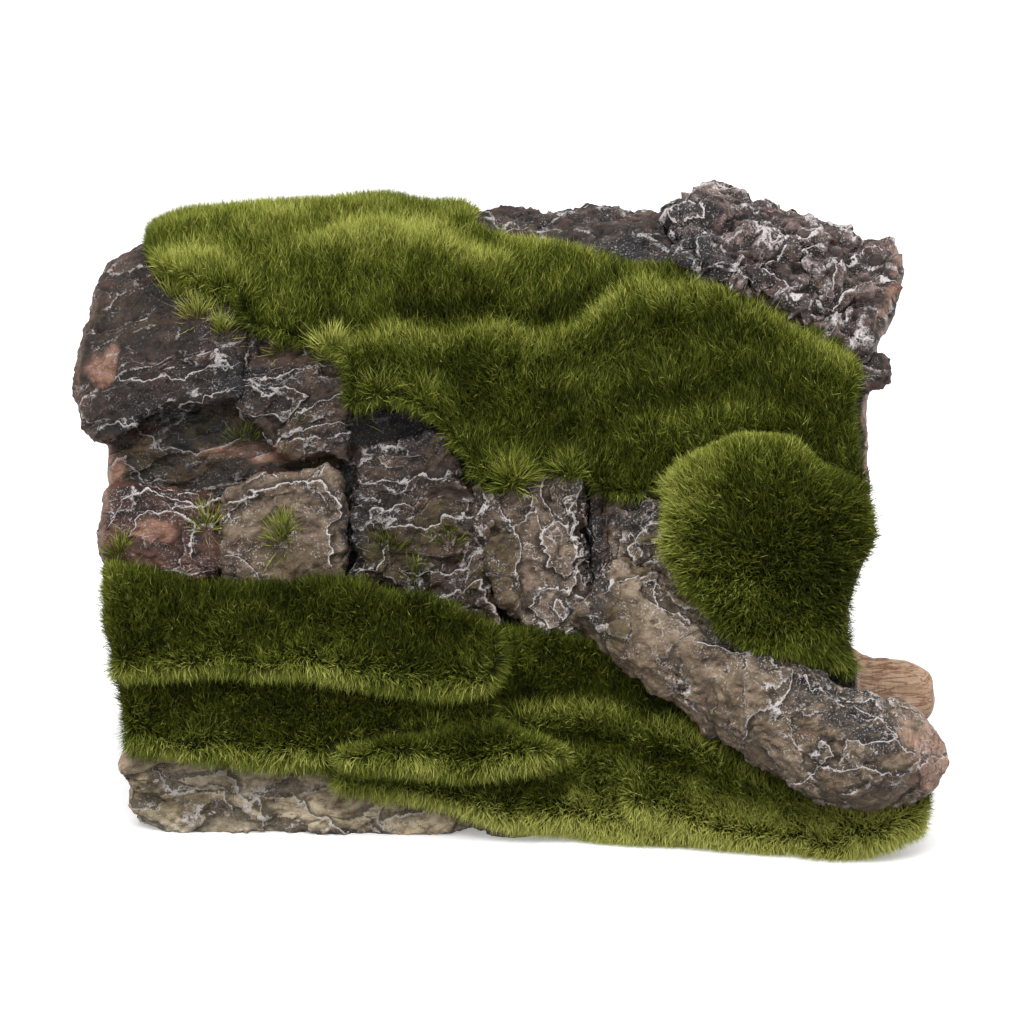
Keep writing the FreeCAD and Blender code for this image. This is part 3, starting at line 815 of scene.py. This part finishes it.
def skirt_share(points):
    return height_share(points, [(-35, 15), (9, 16), (12, 38), (24, 38), (40, 30), (60, 26), (84, 20)],
                        [(-35, 12), (-16, 9), (-2, 5), (15, 2), (40, 0), (60, -1), (84, 4)])


def cushion_share(points):
    flat = np.stack([points[:, 0], up_plane(points)], axis=1) - CUSHION_CENTER
    return np.clip(np.linalg.norm(flat / np.array([21.0, 22.0]), axis=1), 0.0, 1.0)


def crown_share(points):
    return 1 - smoothstep(-30.0, 2.0, points[:, 1])


SHARES = {
    "moss_ledge_upper": upper_share, "moss_ledge_middle": middle_share,
    "moss_ledge_lower": lower_share, "moss_skirt": skirt_share,
    "moss_cushion": cushion_share, "moss_crown": crown_share, "moss_rear": crown_share,
}


def crest_lines(node, points):
    """Lift, highlight, shadow and droop that a mat's crest lines give its fibres."""
    up = up_plane(points)
    lift, light, dark, droop = (np.zeros(len(points)) for _ in range(4))
    for side, height, line in CRESTS[node]:
        level, there = line_height(points[:, 0], line)
        level = level + 1.3 * noise(points / np.array([8.0, 8.0, 50.0]), 88)
        inside = level - up if side == "below" else up - level
        rim = smoothstep(-1.4, 1.4, inside) * np.exp(-np.maximum(inside, 0) / 9.0) * there
        lift = np.maximum(lift, height * rim)
        glow = np.exp(-((inside - 1.2) / 2.6) ** 2) * there
        light = np.maximum(light, glow * height / 3.0)
        dark = np.maximum(dark, np.exp(-((inside + 4.0) / 3.0) ** 2) * there)
        if side == "above":
            droop = np.maximum(droop, glow)
    return lift, light, dark, droop


def mat_shape(node, surface):
    """Lower the outer side of a mat to the fibre roots, and give it lumps and rims."""
    drift = [noise(surface.points / 6.0, 65 + k) for k in range(3)]
    surface.points = surface.points + np.stack(drift, axis=1) * np.array([0.9, 0.3, 0.9])
    points = surface.points
    out = outward(points)
    if node == "moss_cushion":
        out = points - CUSHION_HEART
        out /= np.linalg.norm(out, axis=1, keepdims=True)
    facing = np.einsum("ij,ij->i", surface.normals(), out)
    outer = smoothstep(-0.3, 0.3, facing)
    wall = smoothstep(-0.8, -0.1, facing)
    lift = noise(points / np.array([15.0, 12.0, 10.0]), 61) * 1.0 + noise(points / 5.0, 62) * 0.5
    lift += crest_lines(node, points)[0]
    if node == "moss_crown":
        lift += 1.4 * smoothstep(-30.0, -12.0, points[:, 1]) * smoothstep(10.0, -20.0, points[:, 0])
    moved = points - surface.normals() * (wall * MAT_DROP)[:, None]
    moved += out * (outer * lift)[:, None]
    moved[:, 2] = np.maximum(moved[:, 2], 0.2)
    return moved, out


def fiber_tone_with_painted_light(node, points, share):
    """Tone of a fibre from 0, dark, to 1, pale yellow-green: random, plus painted highlight and painted
    shade.
    """
    _, light, dark, _ = crest_lines(node, points)
    tone = 0.4 + 0.13 * noise(points / 9.0, 81) + 0.12 * noise(points / 3.0, 82)
    # Painted highlight along crest lines and painted shadow in the dip beside them.
    tone += 0.36 * light - 0.18 * dark * (1 - light)
    if node in ("moss_crown", "moss_rear"):
        # Painted light: the crown's fibres lighter toward the top of the log.
        tone += 0.3 * smoothstep(-30.0, -12.0, points[:, 1])
    elif node == "moss_cushion":
        x, up = points[:, 0], up_plane(points)
        rim = smoothstep(0.6, 1.0, share) * (1 - 0.7 * smoothstep(56.0, 66.0, x))
        hollow = np.exp(-((x - 60) / 11) ** 2 - ((up - 60) / 10) ** 2)
        # Painted highlight on the cushion's rim and its left side, painted shade in its hollow.
        tone += 0.3 * rim + 0.08 * smoothstep(56.0, 34.0, x) - 0.16 * hollow
    elif node == "moss_skirt":
        # Painted highlight on the skirt's lower rim.
        tone += 0.04 + 0.66 * smoothstep(0.55, 0.95, share)
    else:
        # Painted highlight on the ledges' left ends.
        tone += 0.26 * smoothstep(-73.0, -80.0, points[:, 0]) - 0.02
    return tone


def lean_of(node, points, normals):
    """Direction the fibres are combed in."""
    up = np.array([0.0, 0.0, 1.0])
    swirl = np.stack([noise(points / 6.0, 90 + k) + 0.7 * noise(points / 1.8, 95 + k)
                      for k in range(3)], axis=1)
    if node == "moss_cushion":
        flat = points - CUSHION_FRONT
        return normals * 0.6 + flat / 22.0 * 0.8 + up * 0.15 + swirl * 0.3
    if node in ("moss_crown", "moss_rear"):
        return normals * 0.55 + up * 0.75 + swirl * 0.35
    droop = crest_lines(node, points)[3][:, None]
    return normals * 0.7 + up * (0.6 - 1.1 * droop) + swirl * 0.3


def blades(roots, leans, tones, rng, length, width):
    """Tapered, bent fibres, three triangles each, with their shade in the UV map."""
    count = len(roots)
    jitter = rng.normal(0.0, 0.24, (count, 3))
    way = leans / np.linalg.norm(leans, axis=1, keepdims=True) + jitter
    way /= np.linalg.norm(way, axis=1, keepdims=True)
    side = np.cross(way, rng.normal(0.0, 1.0, (count, 3)))
    side /= np.linalg.norm(side, axis=1, keepdims=True)
    long = length * rng.uniform(0.7, 1.15, (count, 1))
    wide = width * rng.uniform(0.7, 1.2, (count, 1))
    bend = rng.normal(0.0, 0.28, (count, 3))
    middle = roots + way * long * 0.55
    tips = middle + (way + bend) * long * 0.5
    points = np.stack([roots - side * wide / 2, roots + side * wide / 2,
                       middle - side * wide * 0.4, middle + side * wide * 0.4, tips], axis=1)
    points = points.reshape(-1, 3)
    points[:, 2] = np.maximum(points[:, 2], 0.1)
    first = np.arange(count)[:, None, None] * 5
    tris = (first + np.array([[[0, 1, 3], [0, 3, 2], [2, 3, 4]]])).reshape(-1, 3)
    shade = np.clip(tones, 0.02, 0.98)[:, None]
    across = shade + np.array([[-0.006, 0.006, -0.005, 0.005, 0.0]])
    along = np.broadcast_to(np.array([[0.02, 0.02, 0.55, 0.55, 0.98]]), across.shape)
    uvs = np.stack([across, along], axis=2).reshape(-1, 2)
    return points, tris, uvs


def add_uvs(obj, tris, uvs):
    layer = obj.data.uv_layers.new(name="OFBake")
    layer.data.foreach_set("uv", uvs[tris.ravel()].astype(np.float32).ravel())


def moss_piece(node, mat, fiber, seed):
    surface = remeshed(node, MEDIUM)
    surface.smooth(2)
    surface.points, out = mat_shape(node, surface)
    built.append(surface)
    base = make_object(node + "_mat", surface.points, surface.tris, mat, True)
    finish_piece(base, node)
    grow(node, node + "_fibers", surface, out, fiber, seed)


def grow(node, name, surface, out, fiber, seed, least=-0.3, length=BLADE_LENGTH):
    """Fibres of one mat, on the faces that look outwards by at least the given cosine."""
    rng = np.random.default_rng(seed)
    corners = surface.points[surface.tris]
    cross = np.cross(corners[:, 1] - corners[:, 0], corners[:, 2] - corners[:, 0])
    area = np.linalg.norm(cross, axis=1) / 2
    face_normal = cross / np.maximum(np.linalg.norm(cross, axis=1, keepdims=True), 1e-9)
    face_out = out[surface.tris[:, 0]]
    facing = np.einsum("ij,ij->i", face_normal, face_out)
    fringe = smoothstep(0.6, 0.2, facing) * (facing > least)
    weight = area * (facing > least) * (1 + 1.5 * fringe)
    density = MOSS_DENSITY * 1.0
    count = int(weight.sum() * density)
    picked = rng.choice(len(area), count, p=weight / weight.sum())
    mix = rng.dirichlet((1, 1, 1), count)
    roots = np.einsum("ij,ijk->ik", mix, corners[picked])
    normals = face_normal[picked]
    share = SHARES[node](roots)
    spread = fringe[picked][:, None]
    leans = lean_of(node, roots, normals)
    inner = smoothstep(70.0, 60.0, np.abs(roots[:, 0]))[:, None] * spread
    leans += face_out[picked] * 0.5 * spread + (normals * 0.9 - np.array([0, 0, 0.4])) * inner
    tones = fiber_tone_with_painted_light(node, roots, share) + rng.normal(0.0, 0.21, count) - 0.06 * spread[:, 0]
    lengths = length * (1 + 0.15 * spread * rng.uniform(-1.0, 1.0, (count, 1)))
    points, tris, uvs = blades(roots, leans, tones, rng, lengths, BLADE_WIDTH)
    obj = make_object(name, points, tris, fiber, False)
    add_uvs(obj, tris, uvs)
    finish_piece(obj, node)


def make_cushion_roof(fiber):
    """Fibres on the cushion's flat top, between it and the crown."""
    surface = remeshed("cushion_core", MEDIUM)
    surface.smooth(2)
    out = np.tile([0.0, 0.0, 1.0], (len(surface.points), 1))
    grow("moss_cushion", "moss_cushion_roof", surface, out, fiber, 21, 0.45, ROOF_LENGTH)


def front_tree():
    """Search tree of the bark that has been built, for setting tufts on it."""
    points, tris, start = [], [], 0
    for surface in built:
        points.append(surface.points)
        tris.append(surface.tris + start)
        start += len(surface.points)
    return BVHTree.FromPolygons(np.concatenate(points).tolist(), np.concatenate(tris).tolist())


TUFTS = [
    # x, height on the sketch plane, spread, fibres, shade
    (-61, 104, 3.0, 200, 0.9), (-56, 101, 2.6, 160, 0.8), (-35, 97, 3.2, 300, 0.95),
    (-26, 90, 3.0, 260, 0.85), (-30, 85, 2.6, 180, 0.85), (-17, 88, 2.6, 180, 0.8),
    (0, 73, 4.4, 800, 0.72), (11, 74, 2.8, 420, 0.72), (-45, 61, 3.8, 320, 0.72),
    (-59, 63, 2.2, 110, 0.8), (-24, 59, 3.2, 70, 0.5), (-12, 60, 3.2, 70, 0.5),
    (-18, 53, 3.6, 90, 0.55), (-76, 57, 2.6, 120, 0.75), (-52, 79, 3.4, 70, 0.5),
    (-24, 127, 2.4, 90, 0.8), (-44, 97, 2.4, 110, 0.8), (-66, 108, 2.4, 110, 0.85),
]


def make_tufts(fiber):
    tree = front_tree()
    rng = np.random.default_rng(9)
    rise = math.sin(LEAN)
    groups = []
    for x, up, spread, count, shade in TUFTS:
        plane = up + SKETCH_FRONT * rise
        start = Vector((x, plane * rise - TUFT_START * math.cos(LEAN),
                        plane * math.cos(LEAN) + TUFT_START * rise))
        spot, normal, _, _ = tree.ray_cast(start, Vector((0, math.cos(LEAN), -rise)))
        if spot is None:
            continue
        flat = rng.normal(0.0, spread * 0.35, (count, 3))
        flat -= np.outer(flat @ np.array(normal), np.array(normal))
        roots = np.array(spot) + flat - np.array(normal) * 0.3
        leans = np.array(normal) * 0.35 + flat / spread * 1.7 + np.array([0, 0, 1.0])
        tones = shade + rng.normal(0.0, 0.12, count)
        groups.append((roots, leans, tones))
    roots, leans, tones = (np.concatenate(part) for part in zip(*groups))
    points, tris, uvs = blades(roots, leans, tones, rng, TUFT_LENGTH, TUFT_WIDTH)
    obj = make_object("moss_tufts_fibers", points, tris, fiber, False)
    add_uvs(obj, tris, uvs)
    finish_piece(obj, "moss_tufts")


def make_moss():
    mat = mat_material()
    fiber = fiber_material()
    for seed, node in enumerate(SHARES):
        moss_piece(node, mat, fiber, seed + 1)
    make_cushion_roof(fiber)
    make_tufts(fiber)


# ---------------------------------------------------------------- studio

def make_floor():
    g = Graph("floor")
    grain = g.noise(60.0, 2.0)
    shades = [(0.3, (0.9, 0.9, 0.9, 1)), (0.7, (0.93, 0.93, 0.93, 1))]
    g.put(g.shader.inputs["Base Color"], g.ramp(grain, shades))
    g.shader.inputs["Roughness"].default_value = 0.9
    half = 9.0
    corners = np.array([[-half, -half, 0], [half, -half, 0], [half, half, 0], [-half, half, 0]]) / MM
    tris = np.array([[0, 1, 2], [0, 2, 3]])
    floor = make_object("floor", corners - SHIFT - np.array([0, 0, 0.05]), tris, g.material, False)
    floor.visible_diffuse = False
    g.shader.inputs["Emission Color"].default_value = (1, 1, 1, 1)
    g.shader.inputs["Emission Strength"].default_value = 0.3


def make_world():
    """Soft white light from above and a dim return from below."""
    world = bpy.data.worlds.new("studio")
    world.use_nodes = True
    nodes, links = world.node_tree.nodes, world.node_tree.links
    place = nodes.new("ShaderNodeTexCoord")
    split = nodes.new("ShaderNodeSeparateXYZ")
    links.new(place.outputs["Generated"], split.inputs["Vector"])
    rise = nodes.new("ShaderNodeMapRange")
    rise.inputs["From Min"].default_value = -0.04
    rise.inputs["From Max"].default_value = -0.01
    rise.inputs["To Min"].default_value = WORLD_BELOW
    rise.inputs["To Max"].default_value = WORLD_ABOVE
    links.new(split.outputs["Z"], rise.inputs["Value"])
    links.new(rise.outputs["Result"], nodes["Background"].inputs["Strength"])
    nodes["Background"].inputs["Color"].default_value = (1, 1, 1, 1)
    bpy.context.scene.world = world


def make_studio():
    bpy.context.scene.view_settings.view_transform = "Standard"
    make_world()
    data = bpy.data.lights.new("softbox", "SUN")
    data.angle = math.radians(40.0)
    data.energy = SUN
    lamp = bpy.data.objects.new("softbox", data)
    lamp.rotation_euler = (math.radians(34.0), math.radians(-4.0), 0.0)
    bpy.context.scene.collection.objects.link(lamp)


def make_camera():
    data = bpy.data.cameras.new("camera")
    data.lens = LENS
    data.sensor_width = SENSOR
    camera = bpy.data.objects.new("camera", data)
    bpy.context.scene.collection.objects.link(camera)
    target = Vector((SHIFT[0] * MM, SHIFT[1] * MM, TARGET_HEIGHT * MM))
    back = Vector((0.0, -math.cos(LEAN), math.sin(LEAN)))
    camera.location = target + back * (PICTURE_WIDTH * MM / SENSOR * LENS)
    camera.rotation_euler = (-back).to_track_quat("-Z", "Y").to_euler()
    data.clip_start = 0.05
    data.clip_end = 40.0
    bpy.context.scene.camera = camera


make_bark()
make_moss()
make_floor()
make_studio()
make_camera()
